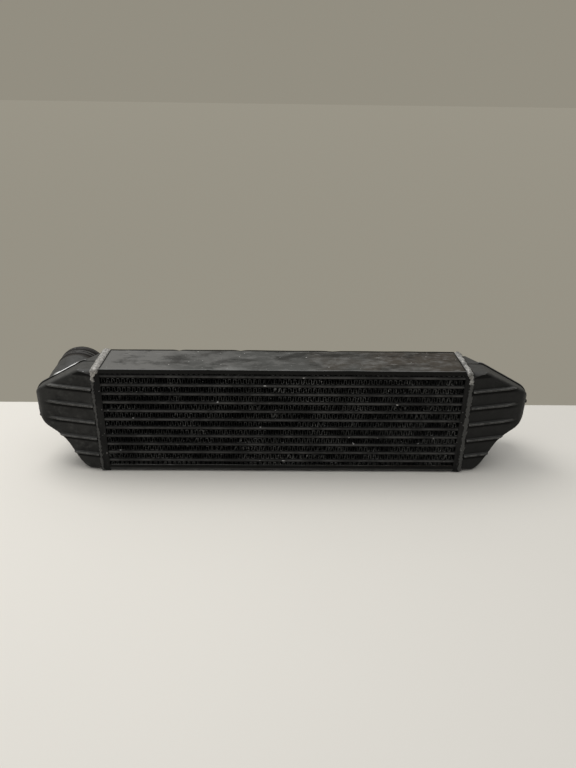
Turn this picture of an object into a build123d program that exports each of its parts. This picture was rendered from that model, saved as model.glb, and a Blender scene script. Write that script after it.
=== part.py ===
from build123d import *
import os

# Charge-air cooler: a tube-and-fin core between two cast end tanks.
# Millimetres. +X runs along the core, +Y points to the rear, where the ports are, +Z is up.
# The core is laid out about its own middle, and move_to_row_frame() centres the finished part.

# ---- core: flat charge tubes with corrugated fins between them ----
core_length = 420.0          # between the two header plates
core_depth = 61.6            # front edge to rear edge of the header plates
stack_foot_z = 7.5           # underside of the lowest fin row above the ground
stack_rise = 0.7             # top of the highest fin row above the header plates
tube_count = 11
tube_height = 5.0            # outside height of one flat tube
outer_fin_gap = 5.6          # height of the top and bottom air passages, squeezed by the side plates
tube_wall = 0.8
tube_crown = 0.55            # how far a tube's front and rear edges bulge
tube_cell_count = 3          # passages inside one tube, parted by webs
tube_web = 0.8
tube_setback = 0.6           # tube edge behind the header plate's edge
tube_projection = 2.0        # tube end past the header plate, into the tank

fin_fold_count = 10          # full waves in one fin row
fin_sheet = 0.5              # height taken by the fin sheet at a slope
fin_setback = 1.8            # fin edge behind the header plate's edge
fin_end_gap = 0.8            # fin row to header plate

braze_gap = 0.05             # between brazed faces

# ---- side plates: shallow channels that close the core at top and bottom ----
side_plate_sheet = 1.2
top_lip_height = 5.4         # turned-down edge of the top plate
bottom_lip_height = 3.2      # turned-up edge of the bottom plate
side_plate_bend_radius = 1.6
side_plate_proud = 0.5       # plate edge in front of the tube edges

# ---- header plates: shallow pans with a slot for each tube ----
header_height = 134.5
header_rim = 9.0             # width of the rim seen from the front
header_floor = 3.0           # thickness of the slotted plate
header_rim_wall = 3.0
header_corner_cut = 1.8
slot_clearance = 0.05        # tube to slot, all round

# ---- end tanks: hollow castings, both to one outline ----
tank_wall = 3.0
tank_inset = 1.2             # tank mouth inside the header plate's outline
tank_edge_radius = 6.0       # rounding of the tank's long edges next to the mouth
tank_reach = 75.0            # from the mouth to the tip
tank_bottom_run = 20.0       # level run along the bottom, from the mouth
tank_shoulder_run = 17.0     # level run along the top, from the mouth
tank_shoulder_radius = 14.0
nose_top_drop = 33.5         # where the sloping top meets the tip, below the header's top
nose_top_radius = 10.0
nose_bottom_z = 57.0         # where the tip meets the sloping underside
nose_bottom_radius = 14.0
belly_reach = 45.0           # bend between the two slopes of the underside
belly_z = 42.5
belly_radius = 25.0
heel_reach = 28.5            # bend between the lower slope and the bottom
heel_z = 12.5
heel_radius = 12.0
bottom_radius = 12.0
wall_slope = 0.224           # how fast the front and rear walls close towards the tip
nose_start = 62.0            # where the walls turn in to the tip
nose_half_depth = 5.0
nose_plan_radius = 11.0

# ---- details cast on the tanks ----
rib_count = 5
first_rib_z = 23.5
last_rib_drop = 24.2         # below the header's top
rib_width = 2.4
rib_height = 1.5
rib_start = 3.0              # from the tank mouth
rib_edge_inset = 1.5         # rib end inside the outline
parting_rim_height = 1.2     # raised edge of the rear half along the parting plane
parting_rim_width = 2.0
parting_rim_start = 16.0     # from the tank mouth
gate_stub_radius = 1.6       # trimmed casting stub on the tip
gate_stub_height = 1.5
left_stub_rise = 5.0         # above the underside's bend at the tip
right_stub_drop = 17.0       # below the top's bend at the tip

# ---- ports: necks cast on the rear of the tanks ----
port_bore_radius = 26.0
port_wall = 3.5
elbow_relief = 0.6           # the leaning length of the bore is this much wider in radius
port_mouth_y = 57.0          # mouth of the port, from the parting plane
port_elbow_y = 33.0          # where the neck turns level
port_lip_height = 1.6        # ridge round the mouth that holds the hose
port_lip_width = 4.5
left_port_reach = 35.0       # port axis from the tank mouth
left_port_drop = 36.5        # port axis below the header's top
left_root_reach = 38.5       # where the leaning length starts, at the parting plane
left_root_drop = 48.5
right_port_reach = 33.0
right_port_z = 62.0
right_root_z = 70.0

# ---- weld beads between header plates and tanks ----
fillet_bead_reach = 1.1      # fillet in the step round the tank's mouth
top_bead_half_width = 4.9
top_bead_height = 3.0
top_bead_shift = -4.0        # middle of the top bead from the joint, towards the core

# ---- worked out from the sizes above ----
joint_x = core_length / 2 + header_rim
stack_height = header_height + stack_rise - stack_foot_z
fin_gap = (stack_height - 2 * outer_fin_gap - tube_count * tube_height) / (tube_count - 1)
tube_pitch = tube_height + fin_gap
first_tube_z = stack_foot_z + outer_fin_gap + tube_height / 2
tube_width = core_depth - 2 * tube_setback
tube_length = core_length + 2 * (header_floor + tube_projection)
top_tube_z = first_tube_z + (tube_count - 1) * tube_pitch
tank_half_depth = core_depth / 2 - tank_inset
tank_foot_z = tank_inset
tank_top_z = header_height - tank_inset
nose_top_z = header_height - nose_top_drop
rib_pitch = (header_height - last_rib_drop - first_rib_z) / (rib_count - 1)
left_port = (joint_x + left_port_reach, header_height - left_port_drop)
left_root = (joint_x + left_root_reach, header_height - left_root_drop)
right_port = (joint_x + right_port_reach, right_port_z)
right_root = (joint_x + right_port_reach, right_root_z)
front_y = -core_depth / 2
row_shift_y = -(front_y + port_mouth_y) / 2


def tube_z(index):
    """Height of the middle of one tube, counted from the bottom."""
    return first_tube_z + index * tube_pitch


def flat_tube_section():
    """Flat tube's outside in the YZ plane, with crowned front and rear edges."""
    half_height = tube_height / 2
    crest = tube_width / 2
    flank = crest - tube_crown
    top = Line((-flank, half_height), (flank, half_height))
    rear = ThreePointArc((flank, half_height), (crest, 0), (flank, -half_height))
    bottom = Line((flank, -half_height), (-flank, -half_height))
    front = ThreePointArc((-flank, -half_height), (-crest, 0), (-flank, half_height))
    return Plane.YZ * make_face(top + rear + bottom + front)


def charge_tube():
    """Extruded flat tube with webs inside, about its own middle."""
    outside = flat_tube_section()
    cell_span = tube_width - 2 * (tube_wall + tube_crown)
    cell_pitch = (cell_span + tube_web) / tube_cell_count
    cell = Rectangle(cell_pitch - tube_web, tube_height - 2 * tube_wall)
    cells = Plane.YZ * GridLocations(cell_pitch, 1, tube_cell_count, 1) * cell
    section = outside - cells
    return extrude(section, tube_length / 2, both=True)


def fin_row(gap):
    """Corrugated fin sheet that stands on height zero, one zigzag profile pushed through the core."""
    low = braze_gap
    rise = gap - 2 * braze_gap - fin_sheet
    length = core_length - 2 * fin_end_gap
    half_wave = length / (2 * fin_fold_count)
    lower = [(-length / 2 + i * half_wave, low + rise * (i % 2)) for i in range(2 * fin_fold_count + 1)]
    upper = [(x, z + fin_sheet) for x, z in reversed(lower)]
    profile = make_face(Plane.XZ * Polyline(*lower, *upper, close=True))
    return extrude(profile, core_depth / 2 - fin_setback, both=True)


def fin_rows():
    """All air passages from the bottom plate to the top plate."""
    half = tube_height / 2
    outer_row = fin_row(outer_fin_gap)
    inner_row = fin_row(fin_gap)
    rows = [Pos(0, 0, first_tube_z - half - outer_fin_gap) * outer_row]
    for index in range(tube_count - 1):
        rows.append(Pos(0, 0, tube_z(index) + half) * inner_row)
    rows.append(Pos(0, 0, top_tube_z + half) * outer_row)
    return rows


def side_plate(inner_z, lip_height, up):
    """Channel with its web on the outer fin row; up is 1 for the top plate and -1 for the bottom one."""
    half_width = tube_width / 2 + side_plate_proud
    inner_half = half_width - side_plate_sheet
    web_z = side_plate_sheet
    lip_z = side_plate_sheet - lip_height
    path = FilletPolyline(
        (-half_width, lip_z),
        (-half_width, web_z),
        (half_width, web_z),
        (half_width, lip_z),
        radius=side_plate_bend_radius,
    )
    inner_path = Polyline((inner_half, lip_z), (inner_half, 0), (-inner_half, 0), (-inner_half, lip_z))
    ends = Line(path @ 1, inner_path @ 0) + Line(inner_path @ 1, path @ 0)
    section = make_face(Plane.YZ * (path + inner_path + ends))
    plate = extrude(section, core_length / 2 - braze_gap, both=True)
    if up < 0:
        plate = mirror(plate, Plane.XY)
    return Pos(0, 0, inner_z) * plate


def header_face():
    """Header plate seen along the core: an upright rectangle with its corners cut off."""
    face = Rectangle(core_depth, header_height)
    return Plane.YZ * (Pos(0, header_height / 2) * chamfer(face.vertices(), header_corner_cut))


def header_block():
    """Outer form of the right-hand header plate."""
    return Pos(core_length / 2) * extrude(header_face(), header_rim)


def header_plate():
    """Right-hand header plate: slotted floor against the core, rim towards the tank."""
    inside = Plane.YZ * Rectangle(core_depth - 2 * header_rim_wall, header_height - 2 * header_rim_wall)
    hollow = Pos(core_length / 2 + header_floor, 0, header_height / 2) * extrude(inside, header_rim)
    pan = header_block() - hollow
    slot_face = Plane.YZ * Rectangle(tube_width + 2 * slot_clearance, tube_height + 2 * slot_clearance)
    slot = extrude(slot_face, header_rim)
    slots = [Pos(core_length / 2, 0, tube_z(index)) * slot for index in range(tube_count)]
    return pan - slots


def tank_outline(grow):
    """Closed outline of a tank in the parting plane, grown or shrunk, run on past the mouth."""
    points = [
        (core_length / 2, tank_foot_z),
        (core_length / 2, tank_top_z),
        (joint_x + tank_shoulder_run, tank_top_z),
        (joint_x + tank_reach, nose_top_z),
        (joint_x + tank_reach, nose_bottom_z),
        (joint_x + belly_reach, belly_z),
        (joint_x + heel_reach, heel_z),
        (joint_x + tank_bottom_run, tank_foot_z),
    ]
    radii = [
        0,
        0,
        tank_shoulder_radius,
        nose_top_radius,
        nose_bottom_radius,
        belly_radius,
        heel_radius,
        bottom_radius,
    ]
    face = make_face(FilletPolyline(*points, radius=radii, close=True))
    if grow:
        face = offset(face, grow, kind=Kind.INTERSECTION)
    return face


def tank_plan(shrink, mouth_x):
    """Plan view of a tank: two walls that close towards a rounded tip."""
    half = tank_half_depth - shrink
    lead = (joint_x - mouth_x) * wall_slope
    turn_half = tank_half_depth - nose_start * wall_slope - shrink
    tip_x = joint_x + tank_reach - shrink
    points = [
        (mouth_x, -half - lead),
        (joint_x + nose_start - shrink, -turn_half),
        (tip_x, -nose_half_depth),
        (tip_x, nose_half_depth),
        (joint_x + nose_start - shrink, turn_half),
        (mouth_x, half + lead),
    ]
    corner = nose_plan_radius - shrink
    radii = [0, corner, nose_half_depth, nose_half_depth, corner, 0]
    return make_face(FilletPolyline(*points, radius=radii, close=True))


def tank_end_view(shrink):
    """Tank seen along the core: rounded long edges outside, and the same edges cut flat in the cavity."""
    width = 2 * (tank_half_depth - shrink)
    height = tank_top_z - tank_foot_z - 2 * shrink
    face = Rectangle(width, height)
    if shrink:
        face = chamfer(face.vertices(), tank_edge_radius - shrink)
    else:
        face = fillet(face.vertices(), tank_edge_radius)
    return Pos(0, (tank_top_z + tank_foot_z) / 2) * face


def rear_fall(shrink):
    """Plane of the sloping top behind the parting plane, which falls to the rear as well as to the tip."""
    shoulder = Vector(joint_x + tank_shoulder_run, 0, tank_top_z)
    nose = Vector(joint_x + tank_reach, 0, nose_top_z)
    rear_corner = Vector(joint_x, tank_half_depth, tank_top_z)
    facing = (nose - shoulder).cross(rear_corner - shoulder).normalized()
    return Plane(origin=shoulder - facing * shrink, z_dir=facing)


def tank_form(shrink, mouth_x):
    """Solid body of a tank: where its front, plan and end views meet, cut down to the rear fall."""
    front_view = extrude(Plane.XZ * tank_outline(-shrink), core_depth / 2, both=True)
    plan_view = extrude(tank_plan(shrink, mouth_x), header_height)
    end_view = extrude(Plane.YZ * tank_end_view(shrink), joint_x + tank_reach)
    return split(front_view & plan_view & end_view, bisect_by=rear_fall(shrink), keep=Keep.BOTTOM)


def wall_ribs():
    """Level ribs that follow the front wall, and the same ribs on the rear wall."""
    lead_x = joint_x + rib_start
    end_x = joint_x + nose_start
    lead_y = -tank_half_depth + rib_start * wall_slope
    end_y = -tank_half_depth + nose_start * wall_slope
    band = make_face(
        Polyline(
            (lead_x, lead_y - rib_height),
            (end_x, end_y - rib_height),
            (end_x, end_y + rib_height),
            (lead_x, lead_y + rib_height),
            close=True,
        )
    )
    ribs = []
    trim = extrude(Plane.XZ * tank_outline(-rib_edge_inset), core_depth, both=True)
    for index in range(rib_count):
        base = Pos(0, 0, first_rib_z + index * rib_pitch - rib_width / 2)
        ribs.append((base * extrude(band, rib_width)) & trim)
    return ribs + [mirror(rib, Plane.XZ) for rib in ribs]


def parting_rim():
    """Raised edge along the outline, just behind the parting plane."""
    grown = tank_outline(parting_rim_height)
    rim = extrude(Plane.XZ * grown, -parting_rim_width)
    keep = Pos(joint_x + parting_rim_start, -core_depth, -header_height) * Box(
        2 * tank_reach, 2 * core_depth, 3 * header_height, align=(Align.MIN, Align.MIN, Align.MIN)
    )
    return rim & keep


def gate_stub(height_z):
    """Trimmed stub that the casting gate leaves on the parting rim."""
    axis = Plane(origin=(joint_x + tank_reach - 1, gate_stub_radius, height_z), z_dir=(1, 0, 0))
    return extrude(axis * Circle(gate_stub_radius), 1 + parting_rim_height + gate_stub_height)


def rear_disc(centre, y, radius):
    """Circle in a plane that faces the rear, at depth y."""
    face_plane = Plane(origin=(centre[0], y, centre[1]), x_dir=(1, 0, 0), z_dir=(0, 1, 0))
    return face_plane * Circle(radius)


def neck(axis, root, leaning_radius, level_radius):
    """Round bar that leans out of the tank and is mitred to a level length at the elbow."""
    base = Vector(root[0], 0, root[1])
    elbow = Vector(axis[0], port_elbow_y, axis[1])
    lean = (elbow - base).normalized()
    mitre = Plane(origin=elbow, z_dir=lean + Vector(0, 1, 0))
    leaning = extrude(Plane(origin=base, z_dir=lean) * Circle(leaning_radius), 2 * port_elbow_y)
    level = extrude(rear_disc(axis, 0, level_radius), port_mouth_y)
    return split(leaning, bisect_by=mitre, keep=Keep.BOTTOM) + split(level, bisect_by=mitre, keep=Keep.TOP)


def port_body(axis, root):
    """Outside of a port: the neck and the lip round its mouth."""
    outer = port_bore_radius + port_wall
    lip = extrude(rear_disc(axis, port_mouth_y - port_lip_width, outer + port_lip_height), port_lip_width)
    return neck(axis, root, outer, outer) + lip


def port_bore(axis, root):
    """Air way through a port, from its mouth into the tank."""
    return neck(axis, root, port_bore_radius + elbow_relief, port_bore_radius)


def tank(axis, root, stub_z):
    """Right-hand casting with its cavity and port."""
    details = [parting_rim(), gate_stub(stub_z), port_body(axis, root)] + wall_ribs()
    casting = tank_form(0, joint_x) + details
    cavity = tank_form(tank_wall, joint_x - tank_wall)
    return casting - [cavity, port_bore(axis, root)]


def weld_bead():
    """Right-hand bead round the joint: a fillet in the step at the tank's mouth and a thick crown on top."""
    fillet_ring = Pos(joint_x) * extrude(header_face(), fillet_bead_reach, taper=45)
    crown_start = (joint_x + top_bead_shift, front_y, header_height)
    crown_plane = Plane(origin=crown_start, x_dir=(1, 0, 0), z_dir=(0, 1, 0))
    crown = ThreePointArc((-top_bead_half_width, 0), (0, -top_bead_height), (top_bead_half_width, 0))
    foot = Polyline(
        (top_bead_half_width, 0),
        (top_bead_half_width, tank_inset),
        (-top_bead_half_width, tank_inset),
        (-top_bead_half_width, 0),
    )
    top = extrude(crown_plane * make_face(crown + foot), core_depth)
    return (top + fillet_ring) - [header_block(), tank_form(0, joint_x)]


def left_hand(shape):
    """Mirror image across the middle of the core."""
    return mirror(shape, Plane.YZ)


def build_parts():
    """Every sub-part by name, in the core's own layout."""
    half = tube_height / 2
    parts = {}
    tube = charge_tube()
    for index in range(tube_count):
        parts[f"charge_tube_{index + 1:02d}"] = Pos(0, 0, tube_z(index)) * tube
    for index, row in enumerate(fin_rows()):
        parts[f"fin_row_{index + 1:02d}"] = row
    parts["top_side_plate"] = side_plate(top_tube_z + half + outer_fin_gap, top_lip_height, 1)
    parts["bottom_side_plate"] = side_plate(first_tube_z - half - outer_fin_gap, bottom_lip_height, -1)
    plate = header_plate()
    parts["right_header_plate"] = plate
    parts["left_header_plate"] = left_hand(plate)
    parts["right_tank"] = tank(right_port, right_root, nose_top_z - right_stub_drop)
    parts["left_tank"] = left_hand(tank(left_port, left_root, nose_bottom_z + left_stub_rise))
    bead = weld_bead()
    parts["right_weld_bead"] = bead
    parts["left_weld_bead"] = left_hand(bead)
    return parts


def move_to_row_frame(shape):
    """Centre the part from its front face to the mouth of its ports."""
    return Pos(0, row_shift_y, 0) * shape


os.makedirs("parts", exist_ok=True)
for name, shape in build_parts().items():
    export_step(move_to_row_frame(shape), f"parts/{name}.step")
    print(name, round(shape.volume, 1), len(shape.solids()))
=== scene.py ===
import math
import random

import bpy
from mathutils import Matrix, Vector, noise


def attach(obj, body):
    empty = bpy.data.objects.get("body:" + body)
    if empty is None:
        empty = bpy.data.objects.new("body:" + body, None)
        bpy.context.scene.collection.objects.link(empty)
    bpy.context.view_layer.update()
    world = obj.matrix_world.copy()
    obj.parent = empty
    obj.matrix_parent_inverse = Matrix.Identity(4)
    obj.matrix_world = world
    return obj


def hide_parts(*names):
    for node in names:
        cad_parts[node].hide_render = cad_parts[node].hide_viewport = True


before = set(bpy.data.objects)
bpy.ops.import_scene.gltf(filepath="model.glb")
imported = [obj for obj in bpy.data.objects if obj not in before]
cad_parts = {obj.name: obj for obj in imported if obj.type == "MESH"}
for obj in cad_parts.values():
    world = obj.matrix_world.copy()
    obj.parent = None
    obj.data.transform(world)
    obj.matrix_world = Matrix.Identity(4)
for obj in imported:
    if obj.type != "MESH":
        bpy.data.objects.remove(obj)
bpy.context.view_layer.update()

mm = 0.001

# the whole part, in millimetres; depth is measured from the parting plane of the tanks
layout = {
    "planeY": -13.1,        # parting plane in the frame of the part
    "halfCore": 210.0,
    "halfDepth": 30.8,
    "headerHeight": 134.5,
    "joint": 219.0,         # where header plates meet the tanks
}
nearly = 0.9                # a direction counts as along an axis when its part along it is more than this
sameSpot = 0.00001          # points closer than this are merged, in metres


def point(x, y, z):
    return Vector((x * mm, (y + layout["planeY"]) * mm, z * mm))


# helpers around the operators
def nothingSelected():
    if bpy.context.object and bpy.context.object.mode != "OBJECT":
        bpy.ops.object.mode_set(mode="OBJECT")
    bpy.ops.object.select_all(action="DESELECT")


def makeActive(piece):
    nothingSelected()
    piece.select_set(True)
    bpy.context.view_layer.objects.active = piece


def settle(piece):
    makeActive(piece)
    bpy.ops.object.transform_apply(location=True, rotation=True, scale=True)


def addBlock(name, low, high):
    nothingSelected()
    middle = [(a + b) / 2 for a, b in zip(low, high)]
    bpy.ops.mesh.primitive_cube_add(size=1, location=point(*middle))
    block = bpy.context.object
    block.name = name
    block.scale = [abs(b - a) * mm for a, b in zip(low, high)]
    settle(block)
    return block


def duplicate(piece):
    copy = piece.copy()
    copy.data = piece.data.copy()
    bpy.context.collection.objects.link(copy)
    return copy


def alongX(at, way):
    return abs(way.x) > nearly


def pick(piece, kind, test):
    # selects vertices by their place, or edges and faces by place and direction, and goes to edit mode
    makeActive(piece)
    bpy.ops.object.mode_set(mode="EDIT")
    bpy.ops.mesh.select_mode(type=kind)
    bpy.ops.mesh.select_all(action="DESELECT")
    bpy.ops.object.mode_set(mode="OBJECT")
    mesh = piece.data
    shift = Vector((0, layout["planeY"] * mm, 0))
    if kind == "VERT":
        for vertex in mesh.vertices:
            vertex.select = test((vertex.co - shift) / mm)
    elif kind == "EDGE":
        for edge in mesh.edges:
            a, b = (mesh.vertices[i].co for i in edge.vertices)
            edge.select = test(((a + b) / 2 - shift) / mm, (b - a).normalized())
    else:
        for face in mesh.polygons:
            face.select = test((face.center - shift) / mm, face.normal)
    bpy.ops.object.mode_set(mode="EDIT")


def editAll(piece):
    makeActive(piece)
    bpy.ops.object.mode_set(mode="EDIT")
    bpy.ops.mesh.select_all(action="SELECT")


def done():
    bpy.ops.object.mode_set(mode="OBJECT")


def drawOn(x, y, z):
    # extrudes what is selected
    bpy.ops.mesh.extrude_region_move(TRANSFORM_OT_translate={"value": (x * mm, y * mm, z * mm)})


def pushIn(depth):
    # pushes the selected faces in
    bpy.ops.mesh.extrude_region_shrink_fatten(TRANSFORM_OT_shrink_fatten={"value": -depth * mm})
    done()


def cutOff(piece, at, normal):
    # cuts away what lies past a plane and closes the cut
    editAll(piece)
    bpy.ops.mesh.bisect(plane_co=at, plane_no=normal, use_fill=True, clear_outer=True)
    done()


def useModifier(piece, kind, **values):
    makeActive(piece)
    modifier = piece.modifiers.new(kind.title(), kind)
    for key, value in values.items():
        setattr(modifier, key, value)
    bpy.ops.object.modifier_apply(modifier=modifier.name)


def ripple(piece, texture, strength, direction="NORMAL", group=""):
    # pushes the surface out and in by up to half the strength
    useModifier(piece, "DISPLACE", texture=texture, texture_coords="LOCAL", direction=direction,
                strength=strength * mm, mid_level=0.5, vertex_group=group)


def joinInto(piece, others):
    nothingSelected()
    for other in others:
        other.select_set(True)
    piece.select_set(True)
    bpy.context.view_layer.objects.active = piece
    bpy.ops.object.join()


def mendNormals(piece):
    editAll(piece)
    bpy.ops.mesh.remove_doubles(threshold=sameSpot)
    bpy.ops.mesh.normals_make_consistent(inside=False)
    done()


def smoothShade(piece, angle=35):
    makeActive(piece)
    bpy.ops.object.shade_smooth_by_angle(angle=math.radians(angle))


def cloudTexture(name, size, depth=2, contrast=1.0):
    texture = bpy.data.textures.new(name, "CLOUDS")
    texture.noise_scale = size * mm
    texture.noise_depth = depth
    texture.contrast = contrast
    return texture


def hand(piece, name, nodes, material):
    # names a finished piece, gives it its material, puts it under the root body and hides the nodes that it
    # stands for
    piece.name = name
    piece.data.name = name
    piece.data.materials.clear()
    piece.data.materials.append(material)
    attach(piece, "root")
    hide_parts(*nodes)
    print("made", name, len(piece.data.polygons), "faces")


# the ribs on the end tanks; the paint reads their heights as well
ribs = {"heights": [23.5, 45.2, 66.9, 88.6, 110.3], "width": 2.3, "proud": 3.3, "start": 221.5, "inset": 1.0,
        "noseGrow": -0.3}


# finishes: a look holds colours, and patterns are speckles with sizes in millimetres
# a span says where something starts, where it is full and how strong it is then; two make a band
# the helpers add nodes to the tree of the socket that they are given
def newFinish(name, gloss=0.5, roughness=0.5):
    material = bpy.data.materials.new(name)
    material.use_nodes = True
    tree = material.node_tree
    shader = tree.nodes["Principled BSDF"]
    shader.inputs["Roughness"].default_value = roughness
    shader.inputs["Specular IOR Level"].default_value = gloss
    coords = tree.nodes.new("ShaderNodeTexCoord").outputs["Object"]
    return material, tree, shader, coords


def speckle(coords, size, detail, rough=0.6, stretch=(1, 1, 1), shift=(0, 0, 0)):
    tree = coords.id_data
    mapping = tree.nodes.new("ShaderNodeMapping")
    mapping.inputs["Scale"].default_value = stretch
    mapping.inputs["Location"].default_value = shift
    tree.links.new(coords, mapping.inputs["Vector"])
    texture = tree.nodes.new("ShaderNodeTexNoise")
    texture.inputs["Scale"].default_value = 1000 / size
    texture.inputs["Detail"].default_value = detail
    texture.inputs["Roughness"].default_value = rough
    tree.links.new(mapping.outputs["Vector"], texture.inputs["Vector"])
    return texture.outputs["Fac"]


def speckles(coords, patterns):
    return [speckle(coords, **pattern) for pattern in patterns.values()]


def between(value, low, high, full=1.0):
    # 0 below low, full above high
    tree = value.id_data
    stretch = tree.nodes.new("ShaderNodeMapRange")
    stretch.interpolation_type = "SMOOTHSTEP"
    stretch.inputs["From Min"].default_value = low
    stretch.inputs["From Max"].default_value = high
    stretch.inputs["To Max"].default_value = full
    tree.links.new(value, stretch.inputs["Value"])
    return stretch.outputs["Result"]


def combine(kind, a, b=0):
    tree = (b if isinstance(a, (int, float)) else a).id_data
    maths = tree.nodes.new("ShaderNodeMath")
    maths.operation = kind
    for socket, value in zip(maths.inputs, (a, b)):
        if isinstance(value, (int, float)):
            socket.default_value = value
        else:
            tree.links.new(value, socket)
    return maths.outputs[0]


def times(product, *factors):
    for factor in factors:
        product = combine("MULTIPLY", product, factor)
    return product


def scaled(value, factor, offset):
    return combine("ADD", times(value, factor), offset)


def opposite(value):
    return combine("SUBTRACT", 1.0, value)


def band(value, rise, fall):
    # 1 between the rise and the fall, 0 outside
    return times(between(value, *rise), opposite(between(value, *fall)))


def blendColour(amount, first, second):
    tree = amount.id_data
    mix = tree.nodes.new("ShaderNodeMix")
    mix.data_type = "RGBA"
    tree.links.new(amount, mix.inputs["Factor"])
    for socket, colour in ((mix.inputs["A"], first), (mix.inputs["B"], second)):
        if isinstance(colour, tuple):
            socket.default_value = (*colour, 1)
        else:
            tree.links.new(colour, socket)
    return mix.outputs["Result"]


def layered(look, base, *layers):
    # colours over a base colour, each with how much of it shows
    colour = look[base]
    for amount, over in layers:
        colour = blendColour(amount, colour, look[over])
    return colour


def axisValue(vector, axis):
    split = vector.id_data.nodes.new("ShaderNodeSeparateXYZ")
    vector.id_data.links.new(vector, split.inputs["Vector"])
    return split.outputs[axis]


def depthValue(coords):
    # depth from the parting plane
    return combine("ADD", axisValue(coords, "Y"), -layout["planeY"] * mm)


def facing(tree, axis):
    return axisValue(tree.nodes.new("ShaderNodeNewGeometry").outputs["Normal"], axis)


def edgeWear(tree, low, high):
    return between(tree.nodes.new("ShaderNodeNewGeometry").outputs["Pointiness"], low, high)


def coat(shader, colour, height, deep, rough=None):
    # the colour, a relief so many millimetres deep, and the roughness where it varies
    tree = colour.id_data
    tree.links.new(colour, shader.inputs["Base Color"])
    if rough:
        tree.links.new(rough, shader.inputs["Roughness"])
    bump = tree.nodes.new("ShaderNodeBump")
    bump.inputs["Distance"].default_value = deep * mm
    tree.links.new(height, bump.inputs["Height"])
    tree.links.new(bump.outputs["Normal"], shader.inputs["Normal"])


def sheetFinish():
    # worn satin paint on the side plates: dusty towards one end, browner and darker at the other, partly as
    # painted shade
    look = {"dusty": (0.118, 0.1145, 0.107), "middle": (0.062, 0.062, 0.058), "dark": (0.05, 0.043, 0.035),
            "bare": (0.34, 0.33, 0.31), "edge": (0.005, 0.005, 0.0046), "worn": (0.17, 0.168, 0.16)}
    patterns = {"soft": {"size": 60, "detail": 4, "rough": 0.55},
                "fine": {"size": 9, "detail": 6, "rough": 0.7, "stretch": (0.55, 1, 1)},
                "grain": {"size": 1.1, "detail": 4, "rough": 0.55},
                "wiped": {"size": 30, "detail": 5, "rough": 0.7, "stretch": (0.6, 1, 1), "shift": (8, 3, 2)},
                "stain": {"size": 22, "detail": 6, "rough": 0.7, "stretch": (0.5, 1, 1), "shift": (3, 1, 2)},
                "scratch": {"size": 3.4, "detail": 2, "rough": 0.4, "stretch": (0.16, 1.4, 1),
                            "shift": (1, 5, 0)},
                "dots": {"size": 2.6, "detail": 1, "rough": 0.3, "shift": (7, 2, 5)}}
    spans = {"middle": (-0.16, -0.03), "dark": (0.02, 0.15), "smudge": (0.45, 0.68, 0.68),
             "wiped": (0.55, 0.7, 0.45), "stain": (0.48, 0.66, 0.62), "scratch": (0.68, 0.74, 0.5),
             "dots": (0.785, 0.81), "up": (0.5, 0.9), "rearLine": (0.0252, 0.0262),
             "endLine": (0.2078, 0.2090), "pastFront": (-0.029, -0.027), "bend": ((0.6, 0.75), (0.93, 0.985)),
             "foot": ((0.0028, 0.0034), (0.0046, 0.0056))}
    amounts = {"drift": 0.45, "paintedShadeLines": 0.97, "bend": (0.8, 0.15), "foot": 0.5, "rough": (0.3, 0.36),
               "relief": 0.1, "fineRelief": 2.0}
    material, tree, shader, coords = newFinish("wornSheetPaint", 0.1)
    soft, fine, grain, wiped, stain, scratch, dots = speckles(coords, patterns)
    along, depth, level = axisValue(coords, "X"), depthValue(coords), facing(tree, "Z")
    up = between(level, *spans["up"])
    # the drift darkens the plates towards one end: partly their own tone, partly painted shade
    drift = combine("ADD", along, times(combine("SUBTRACT", soft, 0.5), amounts["drift"]))
    marks = combine("MAXIMUM", between(scratch, *spans["scratch"]), between(dots, *spans["dots"]))
    # painted shade: the faces that don't face up are painted dark, and so are a line at the rear and one at
    # both ends
    paintedShadeLines = combine("MAXIMUM", opposite(up), between(depth, *spans["rearLine"]))
    paintedShadeLines = combine("MAXIMUM", paintedShadeLines, between(combine("ABSOLUTE", along), *spans["endLine"]))
    # painted lighter along the front's bend and foot: partly wear, partly a painted highlight
    bend = times(band(level, *spans["bend"]), opposite(between(depth, *spans["pastFront"])))
    foot = band(axisValue(coords, "Z"), *spans["foot"])
    colour = layered(look, "dusty",
                     (between(drift, *spans["middle"]), "middle"),
                     (between(drift, *spans["dark"]), "dark"),
                     (between(fine, *spans["smudge"]), "dusty"),
                     (between(wiped, *spans["wiped"]), "worn"),
                     (between(stain, *spans["stain"]), "edge"),
                     (times(marks, up), "bare"),
                     (times(paintedShadeLines, amounts["paintedShadeLines"]), "edge"),
                     (times(bend, scaled(fine, *amounts["bend"])), "worn"),
                     (times(foot, times(fine, amounts["foot"])), "worn"))
    height = combine("ADD", grain, times(fine, amounts["fineRelief"]))
    coat(shader, colour, height, amounts["relief"], scaled(fine, *amounts["rough"]))
    return material


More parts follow.
